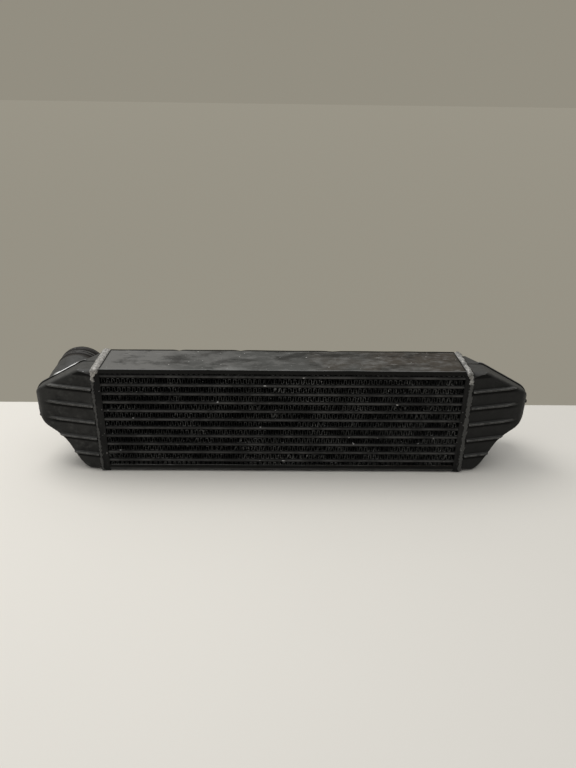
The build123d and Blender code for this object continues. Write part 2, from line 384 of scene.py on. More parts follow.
def castFinish():
    # satin paint over the grain of the casting, dusty on top; the ribs' edges are lighter, partly from wear
    # and partly as a painted highlight, and painted shade lies under the ribs
    look = {"paint": (0.024, 0.0236, 0.0222), "deep": (0.011, 0.011, 0.0105), "rubbed": (0.15, 0.148, 0.14),
            "dust": (0.078, 0.0765, 0.072), "neck": (0.026, 0.0232, 0.0212),
            "paintedShade": (0.0045, 0.0044, 0.0042), "bare": (0.8, 0.79, 0.76), "shadedSeam": (0.0025, 0.0024, 0.0022)}
    patterns = {"grain": {"size": 0.9, "detail": 3},
                "lumps": {"size": 7, "detail": 4},
                "clouds": {"size": 30, "detail": 5, "rough": 0.65},
                "blotches": {"size": 13, "detail": 5, "rough": 0.7, "shift": (5, 2, 1)},
                "chips": {"size": 3.1, "detail": 2, "rough": 0.4, "shift": (2, 9, 4)}}
    spans = {"paint": (0.36, 0.62), "blotches": (0.5, 0.72, 0.4), "rightShade": (-0.1, 0.1, 0.85),
             "up": (0.25, 0.85), "neck": (0.030, 0.033), "ribShadow": ((0.69, 0.79), (0.945, 0.955)),
             "level": (0.15, 0.4), "pastTip": (0.268, 0.290), "wornEdge": (0.508, 0.55),
             "wornLumps": (0.3, 0.6), "chips": (0.745, 0.77), "chippedEdge": (0.5, 0.54),
             "rim": ((-0.0002, 0.0002), (0.0030, 0.0036)), "rimHighlight": ((0.240, 0.247), (0.266, 0.276)),
             "shadedSeam": ((-0.0021, -0.0016), (-0.0001, 0.0002))}
    amounts = {"dust": (0.8, 0.2), "worn": (0.6, 0.3), "paintedShade": 0.92, "ridgeShade": 0.85, "rough": (0.35, 0.33),
               "underRough": 0.4, "relief": 0.14, "lumpsRelief": 1.5, "seamRelief": 5.0}
    # painted shade beside the neck's ridges and round its mouth, by depth
    ridgeShade = {"bands": ((0.0355, 0.0380), (0.0415, 0.0435), (0.0480, 0.0515), (0.0545, 0.0600)), "soft": 0.0003}
    material, tree, shader, coords = newFinish("castingPaint", 0.15)
    grain, lumps, clouds, blotches, chips = speckles(coords, patterns)
    across, depth, level = axisValue(coords, "X"), depthValue(coords), facing(tree, "Z")
    up = between(level, *spans["up"])
    # the necks stay darker and browner
    onNeck = between(depth, *spans["neck"])
    # painted shadow under each rib; the share runs from 0 at one rib to 1 at the next
    lowest, second = (height * mm for height in ribs["heights"][:2])
    share = combine("SUBTRACT", axisValue(coords, "Z"), lowest)
    share = combine("FRACT", combine("DIVIDE", share, second - lowest))
    upright = opposite(between(combine("ABSOLUTE", level), *spans["level"]))
    onFlank = opposite(between(combine("ABSOLUTE", across), *spans["pastTip"]))
    ribShadow = times(band(share, *spans["ribShadow"]), upright, onFlank, opposite(onNeck))
    worn = scaled(between(lumps, *spans["wornLumps"]), *amounts["worn"])
    # a stretch of the left rim's top is painted near white: a painted highlight
    rim = times(band(depth, *spans["rim"]), band(times(across, -1.0), *spans["rimHighlight"]), up)
    # painted shade: the seam is painted near black, and it is dented in the relief as well
    shadedSeam = band(depth, *spans["shadedSeam"])
    soft = ridgeShade["soft"]
    ridgeShadeBands = [band(depth, (low - soft, low + soft), (high - soft, high + soft)) for low, high in ridgeShade["bands"]]
    colour = layered(look, "deep",
                     (between(clouds, *spans["paint"]), "paint"),
                     (between(blotches, *spans["blotches"]), "dust"),
                     # painted shade: the right tank is darker than the left
                     (between(across, *spans["rightShade"]), "deep"),
                     (times(up, scaled(lumps, *amounts["dust"])), "dust"),
                     (onNeck, "neck"),
                     # painted shadow under the ribs
                     (times(ribShadow, amounts["paintedShade"]), "paintedShade"),
                     # lighter on the convex edges, the ribs' above all: partly wear, partly a painted
                     # highlight
                     (times(edgeWear(tree, *spans["wornEdge"]), worn), "rubbed"),
                     (times(between(chips, *spans["chips"]), edgeWear(tree, *spans["chippedEdge"])), "bare"),
                     # painted highlight on the left rim
                     (rim, "bare"),
                     # painted shade in the seam
                     (shadedSeam, "shadedSeam"),
                     # painted shade beside the neck's ridges and round the mouth
                     *((times(part, amounts["ridgeShade"]), "paintedShade") for part in ridgeShadeBands))
    rough = combine("ADD", scaled(lumps, *amounts["rough"]), times(ribShadow, amounts["underRough"]))
    height = combine("ADD", grain, times(lumps, amounts["lumpsRelief"]))
    height = combine("SUBTRACT", height, times(shadedSeam, amounts["seamRelief"]))
    coat(shader, colour, height, amounts["relief"], rough)
    return material


def headerFinish():
    # dark satin paint, dusty on top, with dull streaks down the sides
    look = {"paint": (0.007, 0.007, 0.0068), "dust": (0.034, 0.033, 0.031), "bare": (0.3, 0.29, 0.28)}
    patterns = {"fine": {"size": 5, "detail": 5, "rough": 0.65},
                "streak": {"size": 12, "detail": 4, "stretch": (1, 1, 0.25)},
                "chips": {"size": 2.6, "detail": 2, "rough": 0.4}}
    spans = {"streak": (0.42, 0.72, 0.35), "up": (0.4, 0.9, 0.8), "chips": (0.7, 0.74),
             "chippedEdge": (0.5, 0.55)}
    amounts = {"rough": (0.3, 0.3), "relief": 0.1}
    material, tree, shader, coords = newFinish("headerPaint", 0.1)
    fine, streak, chips = speckles(coords, patterns)
    colour = layered(look, "paint",
                     (between(streak, *spans["streak"]), "dust"),
                     (between(facing(tree, "Z"), *spans["up"]), "dust"),
                     (times(between(chips, *spans["chips"]), edgeWear(tree, *spans["chippedEdge"])), "bare"))
    coat(shader, colour, fine, amounts["relief"], scaled(fine, *amounts["rough"]))
    return material


def tubeFinish():
    # the tubes' noses carry the thinnest paint, so grey shows through in blotches
    look = {"paint": (0.009, 0.009, 0.0088), "thin": (0.052, 0.051, 0.0485), "bare": (0.45, 0.44, 0.42)}
    patterns = {"blotch": {"size": 16, "detail": 5, "rough": 0.65, "stretch": (0.6, 1, 1)},
                "fine": {"size": 2.2, "detail": 4},
                "chips": {"size": 3.6, "detail": 1, "rough": 0.3, "stretch": (0.6, 1, 1), "shift": (4, 1, 8)}}
    spans = {"ahead": (0.72, 0.97), "blotch": (0.4, 0.62), "fine": (0.52, 0.75, 0.2), "chips": (0.765, 0.785)}
    amounts = {"blotch": (0.7, 0.3), "relief": 0.1}
    material, tree, shader, coords = newFinish("tubePaint", 0.12, 0.48)
    blotch, fine, chips = speckles(coords, patterns)
    ahead = between(combine("ABSOLUTE", facing(tree, "Y")), *spans["ahead"])
    rubbed = scaled(between(blotch, *spans["blotch"]), *amounts["blotch"])
    colour = layered(look, "paint",
                     (times(ahead, rubbed), "thin"),
                     (between(fine, *spans["fine"]), "thin"),
                     (between(chips, *spans["chips"]), "bare"))
    coat(shader, colour, combine("ADD", fine, blotch), amounts["relief"])
    return material


def finFinish():
    # nearly black fins; their front edges are rubbed grey in patches, and a few are scraped bare
    look = {"paint": (0.007, 0.007, 0.0072), "edge": (0.05, 0.05, 0.047), "caught": (0.13, 0.129, 0.122),
            "bare": (0.5, 0.49, 0.46)}
    patterns = {"cluster": {"size": 34, "detail": 3, "shift": (0.5, 0, 2)},
                "patch": {"size": 17, "detail": 4, "rough": 0.65, "shift": (2, 4, 6)},
                "fine": {"size": 1.9, "detail": 2, "rough": 0.5},
                "chips": {"size": 2.7, "detail": 1, "rough": 0.3, "shift": (9, 3, 1)}}
    spans = {"front": (0.0277, 0.0296), "patch": (0.42, 0.6), "cluster": (0.5, 0.64), "fine": (0.44, 0.58),
             "chips": (0.775, 0.79)}
    amounts = {"patch": (0.92, 0.08), "louvreScale": 115, "louvreRelief": 0.25}
    material, tree, shader, coords = newFinish("finPaint", 0.1, 0.55)
    cluster, patch, fine, chips = speckles(coords, patterns)
    front = between(combine("ABSOLUTE", depthValue(coords)), *spans["front"])
    patchy = times(front, scaled(between(patch, *spans["patch"]), *amounts["patch"]))
    touched = times(between(cluster, *spans["cluster"]), between(fine, *spans["fine"]), front)
    colour = layered(look, "paint", (patchy, "edge"), (touched, "caught"),
                     (times(between(chips, *spans["chips"]), front), "bare"))
    louvre = tree.nodes.new("ShaderNodeTexWave")
    louvre.bands_direction = "Y"
    louvre.inputs["Scale"].default_value = amounts["louvreScale"]
    tree.links.new(coords, louvre.inputs["Vector"])
    coat(shader, colour, louvre.outputs["Fac"], amounts["louvreRelief"])
    return material


def weldFinish(name, painted, silver):
    # bare weld on top; the lines down the front and rear went under the paint
    look = {"silver": silver, "dull": tuple(0.45 * c for c in silver), "paint": (0.035, 0.035, 0.033)}
    patterns = {"fine": {"size": 2.6, "detail": 4, "rough": 0.65},
                "broad": {"size": 8, "detail": 4}}
    spans = {"silver": (0.35, 0.62), "bareAbove": (0.1195, 0.1225), "wornEdge": (0.52, 0.58),
             "paint": (0.62 - 0.24 * painted, 0.72 - 0.2 * painted, painted)}
    amounts = {"ragged": 0.008, "worn": 0.1 + 0.4 * painted, "metal": 0.3, "rough": (0.3, 0.4), "relief": 0.2}
    material, tree, shader, coords = newFinish(name)
    fine, broad = speckles(coords, patterns)
    ragged = times(combine("SUBTRACT", broad, 0.5), amounts["ragged"])
    edge = combine("ADD", axisValue(coords, "Z"), ragged)
    below = opposite(between(edge, *spans["bareAbove"]))
    cover = combine("MAXIMUM", below, between(broad, *spans["paint"]))
    colour = layered(look, "dull",
                     (between(fine, *spans["silver"]), "silver"),
                     (cover, "paint"),
                     (times(edgeWear(tree, *spans["wornEdge"]), amounts["worn"]), "silver"))
    tree.links.new(times(opposite(cover), amounts["metal"]), shader.inputs["Metallic"])
    coat(shader, colour, combine("ADD", fine, broad), amounts["relief"], scaled(fine, *amounts["rough"]))
    return material


sheetPaint = sheetFinish()
castPaint = castFinish()
headerPaint = headerFinish()
tubePaint = tubeFinish()
finPaint = finFinish()
leftWeld = weldFinish("smoothWeld", 0.0, (0.37, 0.355, 0.33))
rightWeld = weldFinish("roughWeld", 0.5, (0.4, 0.39, 0.365))
print("finishes ready")


# core: charge tubes
tubes = {"count": 11, "firstZ": 15.6, "pitch": 11.15, "height": 5.0, "halfDepth": 30.2, "halfLength": 215.0,
         "nose": 2.42, "wall": 0.8, "mouthDepth": 5.0, "waves": 0.4, "waveSize": 24, "cuts": 110}


def makeTubes():
    tall = tubes["height"] / 2
    low = (-tubes["halfLength"], -tubes["halfDepth"], -tall)
    high = (tubes["halfLength"], tubes["halfDepth"], tall)
    tube = addBlock("tube", low, high)
    pick(tube, "EDGE", alongX)
    bpy.ops.mesh.bevel(offset=tubes["nose"] * mm, segments=6, profile=0.5)
    done()
    pick(tube, "FACE", alongX)
    bpy.ops.mesh.inset(thickness=tubes["wall"] * mm)
    pushIn(tubes["mouthDepth"])
    pick(tube, "EDGE", lambda at, way: alongX(at, way) and abs(at.x) < 1)
    bpy.ops.mesh.subdivide(number_cuts=tubes["cuts"])
    done()
    clouds = cloudTexture("tubeWaves", tubes["waveSize"])
    for index in range(tubes["count"]):
        copy = duplicate(tube)
        copy.location.z = (tubes["firstZ"] + index * tubes["pitch"]) * mm
        settle(copy)
        ripple(copy, clouds, tubes["waves"])
        smoothShade(copy)
        hand(copy, f"chargeTube{index + 1:02d}", [f"charge_tube_{index + 1:02d}"], tubePaint)
    bpy.data.objects.remove(tube)


makeTubes()


# core: corrugated fins; steps are the runs and rises of one wave, which lies between lowZ and lowZ + tall
fins = {"wave": 5.8, "count": 72, "sheet": 0.28, "frontY": -30.0, "rearY": 30.0, "bendDepth": 2.2,
        "gap": 6.15, "outerGap": 5.6, "lean": 0.75, "bend": 1.0, "crushed": 3.4, "drift": 0.8,
        "startZ": 0.8, "lowZ": 0.15, "tall": 5.85, "clearance": 0.05, "nearFace": 0.1,
        "steps": [(0.2, 4.55), (0.45, 0.65), (1.7, 0), (0.45, -0.65),
                  (0.2, -4.55), (0.45, -0.65), (1.9, 0), (0.45, 0.65)]}
# which patches of the core's faces are crushed
crushPatches = {"scale": (26, 9, 40), "shift": (3, 1, 0), "perRow": 0.35, "low": 0.12, "gain": 3.2}


def makeFinSheet():
    # one wave is drawn as a strip, edge after edge, and then repeated across the core
    nothingSelected()
    first, rest = fins["steps"][0], fins["steps"][1:]
    bpy.ops.mesh.primitive_plane_add(size=1, location=point(0, 0, 0))
    sheet = bpy.context.object
    sheet.name = "fin"
    sheet.scale = (first[0] * mm, (fins["rearY"] - fins["frontY"]) * mm, 1)
    settle(sheet)
    startX = -fins["wave"] * fins["count"] / 2
    pick(sheet, "VERT", lambda at: at.x > 0)
    bpy.ops.transform.translate(value=(0, 0, first[1] * mm))
    bpy.ops.mesh.select_all(action="SELECT")
    bpy.ops.transform.translate(value=((startX + first[0] / 2) * mm, 0, fins["startZ"] * mm))
    done()
    pick(sheet, "EDGE", lambda at, way: abs(way.y) > nearly and at.z > 2)
    for stepX, stepZ in rest:
        drawOn(stepX, 0, stepZ)
    done()
    for depth in (fins["frontY"] + fins["bendDepth"], fins["rearY"] - fins["bendDepth"]):
        editAll(sheet)
        bpy.ops.mesh.bisect(plane_co=point(0, depth, 0), plane_no=(0, 1, 0))
        done()
    useModifier(sheet, "ARRAY", count=fins["count"], use_relative_offset=False, use_constant_offset=True,
                constant_offset_displace=(fins["wave"] * mm, 0, 0), use_merge_vertices=True,
                merge_threshold=sameSpot)
    sheet.vertex_groups.new(name="coreFaces")
    inner = fins["nearFace"]
    pick(sheet, "VERT", lambda at: at.y < fins["frontY"] + inner or at.y > fins["rearY"] - inner)
    bpy.ops.object.vertex_group_assign()
    # the fins' outer edges all lean one way
    bpy.ops.transform.translate(value=(fins["lean"] * mm, 0, 0))
    done()
    return sheet


def finRows():
    # the foot and the height of each gap that a row of fins fills, from the bottom up
    half, outer = tubes["height"] / 2, fins["outerGap"]
    lastZ = tubes["firstZ"] + (tubes["count"] - 1) * tubes["pitch"]
    between = [(tubes["firstZ"] + index * tubes["pitch"] + half, fins["gap"])
               for index in range(tubes["count"] - 1)]
    return [(tubes["firstZ"] - half - outer, outer), *between, (lastZ + half, outer)]


def markCrushed(row, index, rearY):
    # patches where stones or a jet of water crushed the fins
    crushed = row.vertex_groups.new(name="crushed")
    shift = Vector(crushPatches["shift"]) + Vector((0, 0, index * crushPatches["perRow"]))
    for vertex in row.data.vertices:
        if abs(vertex.co.y / mm - layout["planeY"]) > rearY:
            spot = Vector([v * scale for v, scale in zip(vertex.co, crushPatches["scale"])])
            patch = noise.noise(spot + shift)
            weight = min(1.0, max(0.0, (patch - crushPatches["low"]) * crushPatches["gain"]))
            if weight > 0:
                crushed.add([vertex.index], weight, "REPLACE")


def makeFins():
    sheet = makeFinSheet()
    bends = cloudTexture("bentFins", size=7, depth=3, contrast=2.6)
    crush = cloudTexture("crushedFins", size=3.2, depth=3, contrast=3)
    drift = cloudTexture("finDrift", size=30, depth=1)
    for index, (baseZ, gap) in enumerate(finRows()):
        row = duplicate(sheet)
        row.scale.z = (gap - 2 * fins["clearance"]) / (fins["sheet"] + fins["tall"])
        row.location.z = (baseZ + fins["clearance"] + fins["sheet"] / 2 - fins["lowZ"] * row.scale.z) * mm
        settle(row)
        markCrushed(row, index, fins["rearY"] - fins["nearFace"])
        ripple(row, crush, fins["crushed"], "X", "crushed")
        ripple(row, bends, fins["bend"], "X", "coreFaces")
        ripple(row, drift, fins["drift"], "X")
        useModifier(row, "SOLIDIFY", thickness=fins["sheet"] * mm, offset=0)
        smoothShade(row)
        hand(row, f"finRow{index + 1:02d}", [f"fin_row_{index + 1:02d}"], finPaint)
    bpy.data.objects.remove(sheet)


makeFins()


# side plates
plates = {"halfLength": 209.9, "halfDepth": 30.7, "sheet": 1.2, "bend": 1.6, "top": (131.0, 136.4),
          "bottom": (2.0, 9.5), "lengthCuts": 119, "depthCuts": 17, "sway": 0.7, "swaySize": 45,
          "wave": 0.5, "waveSize": 22}
# each dent: the place, the push and how far round it the sheet follows
topDents = [((-86, -30.7, 134), (0, -0.7, 0.9), 5), ((-128, 30.7, 136), (0, -0.6, -1.1), 6),
            ((-52, 30.7, 136), (0, -0.5, -1.0), 7), ((-111, 14, 136.4), (0, 0, -0.9), 5),
            ((60, 30.7, 136), (0, 0, -0.7), 12), ((150, -30.7, 134), (0, 0.3, -0.5), 9),
            ((20, -8, 136.4), (0, 0, -0.5), 30), ((-170, -4, 136.4), (0, 0, -0.5), 22)]


def makePlate(name, node, low, high, up, dents):
    long, deep = plates["halfLength"], plates["halfDepth"]
    block = addBlock(name, (-long, -deep, low), (long, deep, high))
    pick(block, "FACE", lambda at, way: way.z * up < -nearly or alongX(at, way))
    bpy.ops.mesh.delete(type="FACE")
    done()
    webZ = high if up > 0 else low
    pick(block, "EDGE", lambda at, way: alongX(at, way) and abs(at.z - webZ) < 0.1)
    bpy.ops.mesh.bevel(offset=plates["bend"] * mm, segments=3, profile=0.5)
    done()
    pick(block, "EDGE", alongX)
    bpy.ops.mesh.subdivide(number_cuts=plates["lengthCuts"])
    done()
    pick(block, "EDGE", lambda at, way: abs(way.y) > 0.99 and abs(at.y) < 1)
    bpy.ops.mesh.subdivide(number_cuts=plates["depthCuts"])
    done()
    for (x, y, z), push, size in dents:
        # the vertex nearest to the place is pushed, and the sheet round it follows
        target = Vector((x, y, z))
        reach = min((vertex.co - point(x, y, z)).length for vertex in block.data.vertices) / mm + 0.01
        pick(block, "VERT", lambda at: (at - target).length < reach)
        bpy.ops.transform.translate(value=[v * mm for v in push], use_proportional_edit=True,
                                    proportional_edit_falloff="SMOOTH", proportional_size=size * mm)
        done()
    ripple(block, cloudTexture(name + "Sway", plates["swaySize"]), plates["sway"], "Z")
    ripple(block, cloudTexture(name + "Wave", plates["waveSize"]), plates["wave"], "Y")
    useModifier(block, "SOLIDIFY", thickness=plates["sheet"] * mm, offset=-1)
    smoothShade(block)
    hand(block, name, [node], sheetPaint)


makePlate("topSidePlate", "top_side_plate", *plates["top"], 1, topDents)
makePlate("bottomSidePlate", "bottom_side_plate", *plates["bottom"], -1, [])


# header plates
headers = {"corner": 2.6, "rimWall": 3.0, "pocket": 6.0, "edge": 0.5, "edgeAngle": 50}


def makeHeader(side, name, node):
    low = (side * layout["halfCore"], -layout["halfDepth"], 0)
    high = (side * layout["joint"], layout["halfDepth"], layout["headerHeight"])
    block = addBlock(name, low, high)
    pick(block, "EDGE", alongX)
    bpy.ops.mesh.bevel(offset=headers["corner"] * mm, segments=4, profile=0.5)
    done()
    pick(block, "FACE", lambda at, way: way.x * side > nearly)
    bpy.ops.mesh.inset(thickness=headers["rimWall"] * mm)
    pushIn(headers["pocket"])
    useModifier(block, "BEVEL", width=headers["edge"] * mm, segments=2, limit_method="ANGLE",
                angle_limit=math.radians(headers["edgeAngle"]))
    mendNormals(block)
    smoothShade(block)
    hand(block, name, [node], headerPaint)


makeHeader(1, "rightHeaderPlate", "right_header_plate")
makeHeader(-1, "leftHeaderPlate", "left_header_plate")


# end tanks, given for the right side and mirrored for the left one
# corners: the outline seen from the front, from the mouth's top round the nose, as x, z and radius
# rearFall: which way the sloping top faces behind the parting plane; softX: a place on the slope's edges
tank = {"corners": [(219, 133.3, 0), (236, 133.3, 14), (295.8, 100.2, 20), (295.4, 62.0, 30), (264, 42.0, 42),
                    (247.5, 12.5, 14), (239, 1.2, 16), (219, 1.2, 0)],
        "halfDepth": 29.6, "slope": 0.224, "noseRadius": 15.6, "wall": 3.0,
        "archRadius": 8.0, "footRadius": 7.0, "slopeRadius": 4.5, "softX": 255,
        "rearFall": (0.4686, 0.2691, 0.8417), "rimHeight": 1.4, "rimWidth": 2.8, "rimStart": 235.0,
        "voxel": 0.7, "rough": 0.35, "roughSize": 10, "keptFaces": 0.55}
# elbow: the depth at which a neck starts to bend from its axis towards its root
necks = {"bore": 26.0, "mouth": 57.0, "elbow": 33.0, "innerEnd": 4,
         "rings": [(57, 30.3), (56.3, 31.0), (53.2, 31.0), (52.4, 29.5), (46.2, 29.5), (45.5, 30.7),
                   (44.0, 30.7), (43.3, 29.5), (41.3, 29.5), (40.6, 30.7), (39.1, 30.7), (38.4, 29.5),
                   (33, 29.6), (26, 30.4), (18, 31.4), (8, 32), (2, 32)],
         "left": {"axis": (254.0, 98.0), "root": (257.5, 86.0)},
         "right": {"axis": (252.0, 62.0), "root": (252.0, 70.0)}}
# the trimmed gate on each tip
stubs = {"radius": 2.3, "length": 9, "y": 0.6,
         "left": {"end": 297.0, "z": 62}, "right": {"end": 298.7, "z": 84}}


def roundedOutline(corners, grow):
    # the outline moved out by grow, each corner turned into a short run of points
    spots = [Vector((x, z)) for x, z, radius in corners]
    ways = [(b - a).normalized() for a, b in zip(spots, spots[1:])]
    outs = [Vector((-way.y, way.x)) for way in ways]
    line = [spots[0] + outs[0] * grow]
    for index in range(1, len(spots) - 1):
        before, after = outs[index - 1], outs[index]
        corner = spots[index] + (before + after) * (grow / (1 + before.dot(after)))
        turn = before.angle_signed(after)
        radius = max(1.0, corners[index][2] + (grow if turn > 0 else -grow))
        inward = -1 if turn > 0 else 1
        start = corner - ways[index - 1] * (radius * math.tan(abs(turn) / 2))
        centre = start + before * inward * radius
        steps = max(2, int(abs(turn) / math.radians(8)))
        for step in range(steps + 1):
            out = (before * (steps - step) + after * step).normalized()
            line.append(centre - out * inward * radius)
    line.append(spots[-1] + outs[-1] * grow)
    return line


def cutSide(body, side, at, way):
    cutOff(body, point(side * at.x, at.y, at.z), (side * way.x, way.y, way.z))


def drawOutline(name, side, line, lowY, highY):
    # a single point is drawn round the outline, filled and drawn across the depth
    nothingSelected()
    bpy.ops.mesh.primitive_plane_add(size=mm, location=point(side * line[0].x, lowY, line[0].y))
    body = bpy.context.object
    body.name = name
    settle(body)
    editAll(body)
    bpy.ops.mesh.select_mode(type="VERT")
    bpy.ops.mesh.select_all(action="SELECT")
    bpy.ops.mesh.merge(type="CENTER")
    for here, there in zip(line, line[1:]):
        step = (side * (there.x - here.x) * mm, 0, (there.y - here.y) * mm)
        bpy.ops.mesh.extrude_vertices_move(TRANSFORM_OT_translate={"value": step})
    bpy.ops.mesh.select_all(action="SELECT")
    bpy.ops.mesh.edge_face_add()
    drawOn(0, highY - lowY, 0)
    done()
    mendNormals(body)
    return body


def softenEdges(body, side, planGrow, lean, fall):
    # the edge between the sloping top and each wall
    radius, softX = tank["slopeRadius"], tank["softX"]
    (ax, az, _), (bx, bz, _) = tank["corners"][1:3]
    for front, slopeWay in ((-1, Vector((az - bz, 0, bx - ax)).normalized()), (1, fall)):
        wallWay = Vector((math.sin(lean), front * math.cos(lean), 0))
        y = front * (tank["halfDepth"] - tank["slope"] * (softX - layout["joint"]))
        z = az - (slopeWay.x * (softX - ax) + slopeWay.y * y) / slopeWay.z
        centre = Vector((softX, y, z)) - (slopeWay + wallWay) * (radius / (1 + slopeWay.dot(wallWay)))
        for share in (0.2, 0.4, 0.6, 0.8):
            way = slopeWay.lerp(wallWay, share).normalized()
            cutSide(body, side, centre + way * (radius + planGrow), way)
    # the long edges at the top and at the foot
    top, foot = tank["corners"][0][1], tank["corners"][-1][1]
    for front in (-1, 1):
        for radius, upDown, edgeZ in ((tank["archRadius"], 1, top), (tank["footRadius"], -1, foot)):
            centre = Vector((0, front * (tank["halfDepth"] - radius), edgeZ - upDown * radius))
            for angle in (math.radians(degrees) for degrees in (12, 28, 45, 62, 78)):
                way = Vector((0, front * math.cos(angle), upDown * math.sin(angle)))
                cutSide(body, side, centre + way * (radius + planGrow), way)


def tankBody(name, side, outlineGrow, planGrow, halfDepth, mouth=layout["joint"], isRib=False):
    # the casting's form, grown by so much in outline and in plan
    line = roundedOutline(tank["corners"], outlineGrow)
    line[0].x = line[-1].x = mouth
    body = drawOutline(name, side, line, -halfDepth, halfDepth)
    # front and rear walls close towards the tip and meet in a round nose
    lean = math.atan(tank["slope"])
    nose = Vector((tank["corners"][2][0] - tank["noseRadius"], 0, 0))
    noseRadius = tank["noseRadius"] + (ribs["noseGrow"] if isRib else planGrow)
    for front in (-1, 1):
        way = Vector((math.sin(lean), front * math.cos(lean), 0))
        cutSide(body, side, Vector((layout["joint"], front * tank["halfDepth"], 0)) + way * planGrow, way)
        for angle in (math.radians(degrees) for degrees in (22, 32, 42, 52, 62, 72, 82)):
            way = Vector((math.sin(angle), front * math.cos(angle), 0))
            cutSide(body, side, nose + way * noseRadius, way)
    # behind the parting plane the sloping top falls to the rear as well
    fall, (x, z, _) = Vector(tank["rearFall"]), tank["corners"][1]
    cutSide(body, side, Vector((x, 0, z)) + fall * outlineGrow, fall)
    if not isRib:
        softenEdges(body, side, planGrow, lean, fall)
    return body


def tankRim(side):
    # the raised edge behind the parting plane
    line = roundedOutline(tank["corners"], tank["rimHeight"])
    line[0].x = line[-1].x = tank["rimStart"]
    return drawOutline("rim", side, line, 0.0, tank["rimWidth"])


def tankRibs(side):
    # each rib is a thin level slab, a little larger in plan than the casting
    made = []
    deep = tank["halfDepth"] + ribs["proud"] + 1
    for height in ribs["heights"]:
        rib = tankBody("rib", side, -ribs["inset"], ribs["proud"], deep, mouth=ribs["start"], isRib=True)
        for upDown in (-1, 1):
            cutOff(rib, point(0, 0, height + upDown * ribs["width"] / 2), (0, 0, upDown))
        mendNormals(rib)
        made.append(rib)
    return made


def neckSolid(name, side, place, rings):
    # a disc at the mouth is drawn back ring by ring along the neck's bent axis
    nothingSelected()
    (axisX, axisZ), (rootX, rootZ) = place["axis"], place["root"]
    firstY, radius = rings[0]
    bpy.ops.mesh.primitive_circle_add(vertices=96, radius=radius * mm, fill_type="NGON",
                                      rotation=(math.radians(-90), 0, 0),
                                      location=point(side * axisX, firstY, axisZ))
    neck = bpy.context.object
    neck.name = name
    settle(neck)
    editAll(neck)
    here = Vector((axisX, firstY, axisZ))
    for depth, nextRadius in rings[1:]:
        share = max(0.0, (necks["elbow"] - depth) / necks["elbow"])
        there = Vector((axisX + (rootX - axisX) * share, depth, axisZ + (rootZ - axisZ) * share))
        step = there - here
        drawOn(side * step.x, step.y, step.z)
        wider = nextRadius / radius
        centre = point(side * there.x, there.y, there.z)
        bpy.ops.transform.resize(value=(wider, 1, wider), center_override=centre)
        here, radius = there, nextRadius
    done()
    mendNormals(neck)
    return neck


def gateStub(side, place):
    nothingSelected()
    middle = point(side * (place["end"] - stubs["length"] / 2), stubs["y"], place["z"])
    bpy.ops.mesh.primitive_cylinder_add(vertices=16, radius=stubs["radius"] * mm, depth=stubs["length"] * mm,
                                        rotation=(0, math.radians(90), 0), location=middle)
    stub = bpy.context.object
    settle(stub)
    return stub


def makeTank(side, name, node, neck, stub):
    half, wall = tank["halfDepth"], tank["wall"]
    body = tankBody(name, side, 0, 0, half)
    rim, raised = tankRim(side), tankRibs(side)
    joinInto(body, [rim, *raised, neckSolid("neck", side, neck, necks["rings"]), gateStub(side, stub)])
    useModifier(body, "REMESH", mode="VOXEL", voxel_size=tank["voxel"] * mm)
    useModifier(body, "SMOOTH", factor=0.5, iterations=2)
    ripple(body, cloudTexture("castSurface", tank["roughSize"], 3), tank["rough"])
    useModifier(body, "DECIMATE", ratio=tank["keptFaces"])
    print(name, "outside done", len(body.data.polygons))
    # the bore widens a little at the mouth
    mouth, bore = necks["mouth"], necks["bore"]
    rings = [(mouth + 1.5, bore + 1.2), (mouth, bore + 0.9), (mouth - 1, bore), (necks["elbow"], bore),
             (necks["innerEnd"], bore)]
    cutters = [tankBody("hollow", side, -wall, -wall, half - wall, mouth=layout["joint"] - 4),
               neckSolid("bore", side, neck, rings)]
    for cutter in cutters:
        mendNormals(cutter)
        useModifier(body, "BOOLEAN", operation="DIFFERENCE", object=cutter, solver="EXACT")
        bpy.data.objects.remove(cutter)
    smoothShade(body, 40)
    hand(body, name, [node], castPaint)


makeTank(1, "rightTank", "right_tank", necks["right"], stubs["right"])
makeTank(-1, "leftTank", "left_tank", necks["left"], stubs["left"])


# weld beads: a row of drops along the top, a finer line down the front and the rear, and a run along the foot
welds = {"left": {"middle": 214.9, "half": 5.3, "height": 3.7, "step": 5.2, "jitter": 0.3,
                  "lineX": 219.0, "lineRadius": 1.15},
         "right": {"middle": 213.9, "half": 3.7, "height": 3.1, "step": 3.4, "jitter": 0.7,
                   "lineX": 217.9, "lineRadius": 1.9},
         "inset": 4, "lineStep": 2.1, "lineLow": 3.0, "lineTop": 9, "footStep": 2.4,
         "voxel": 0.45, "lumpSize": 2.5}
# drops down a corner, where the torch stopped: which x each starts from, how far out, in and down it lies,
# its width, depth and height, and the share of its width at the rear
weldCorner = [("middle", 2.4, 0.1, 5.5, 2.9, 1.5, 2.6, 0.8), ("middle", 3.4, 0.2, 9.0, 1.9, 1.5, 1.9, 0.8),
              ("lineX", -0.6, 0.1, 11.2, 2.3, 1.9, 1.7, 0.8), ("lineX", -1.9, 0.0, 13.6, 1.5, 1.3, 1.5, 1)]


def addDrop(at, size):
    nothingSelected()
    bpy.ops.mesh.primitive_ico_sphere_add(subdivisions=3, radius=1, location=point(*at))
    drop = bpy.context.object
    drop.scale = [v * mm for v in size]
    settle(drop)
    return drop


def topDrops(side, shape, dice):
    half, top, inset = layout["halfDepth"], layout["headerHeight"], welds["inset"]
    count = int(2 * (half - inset) / shape["step"]) + 1
    drops = []
    for index in range(count):
        y = -half + inset + index * 2 * (half - inset) / (count - 1)
        wide = shape["half"] + dice.uniform(-1, 1) * shape["jitter"]
        tall = shape["height"] + dice.uniform(-1, 1) * shape["jitter"] * 0.6
        x = shape["middle"] + dice.uniform(-1, 1) * shape["jitter"] * 0.6
        drops.append(addDrop((side * x, y, top - 0.3), (wide, shape["step"] * 1.15, tall)))
    return drops


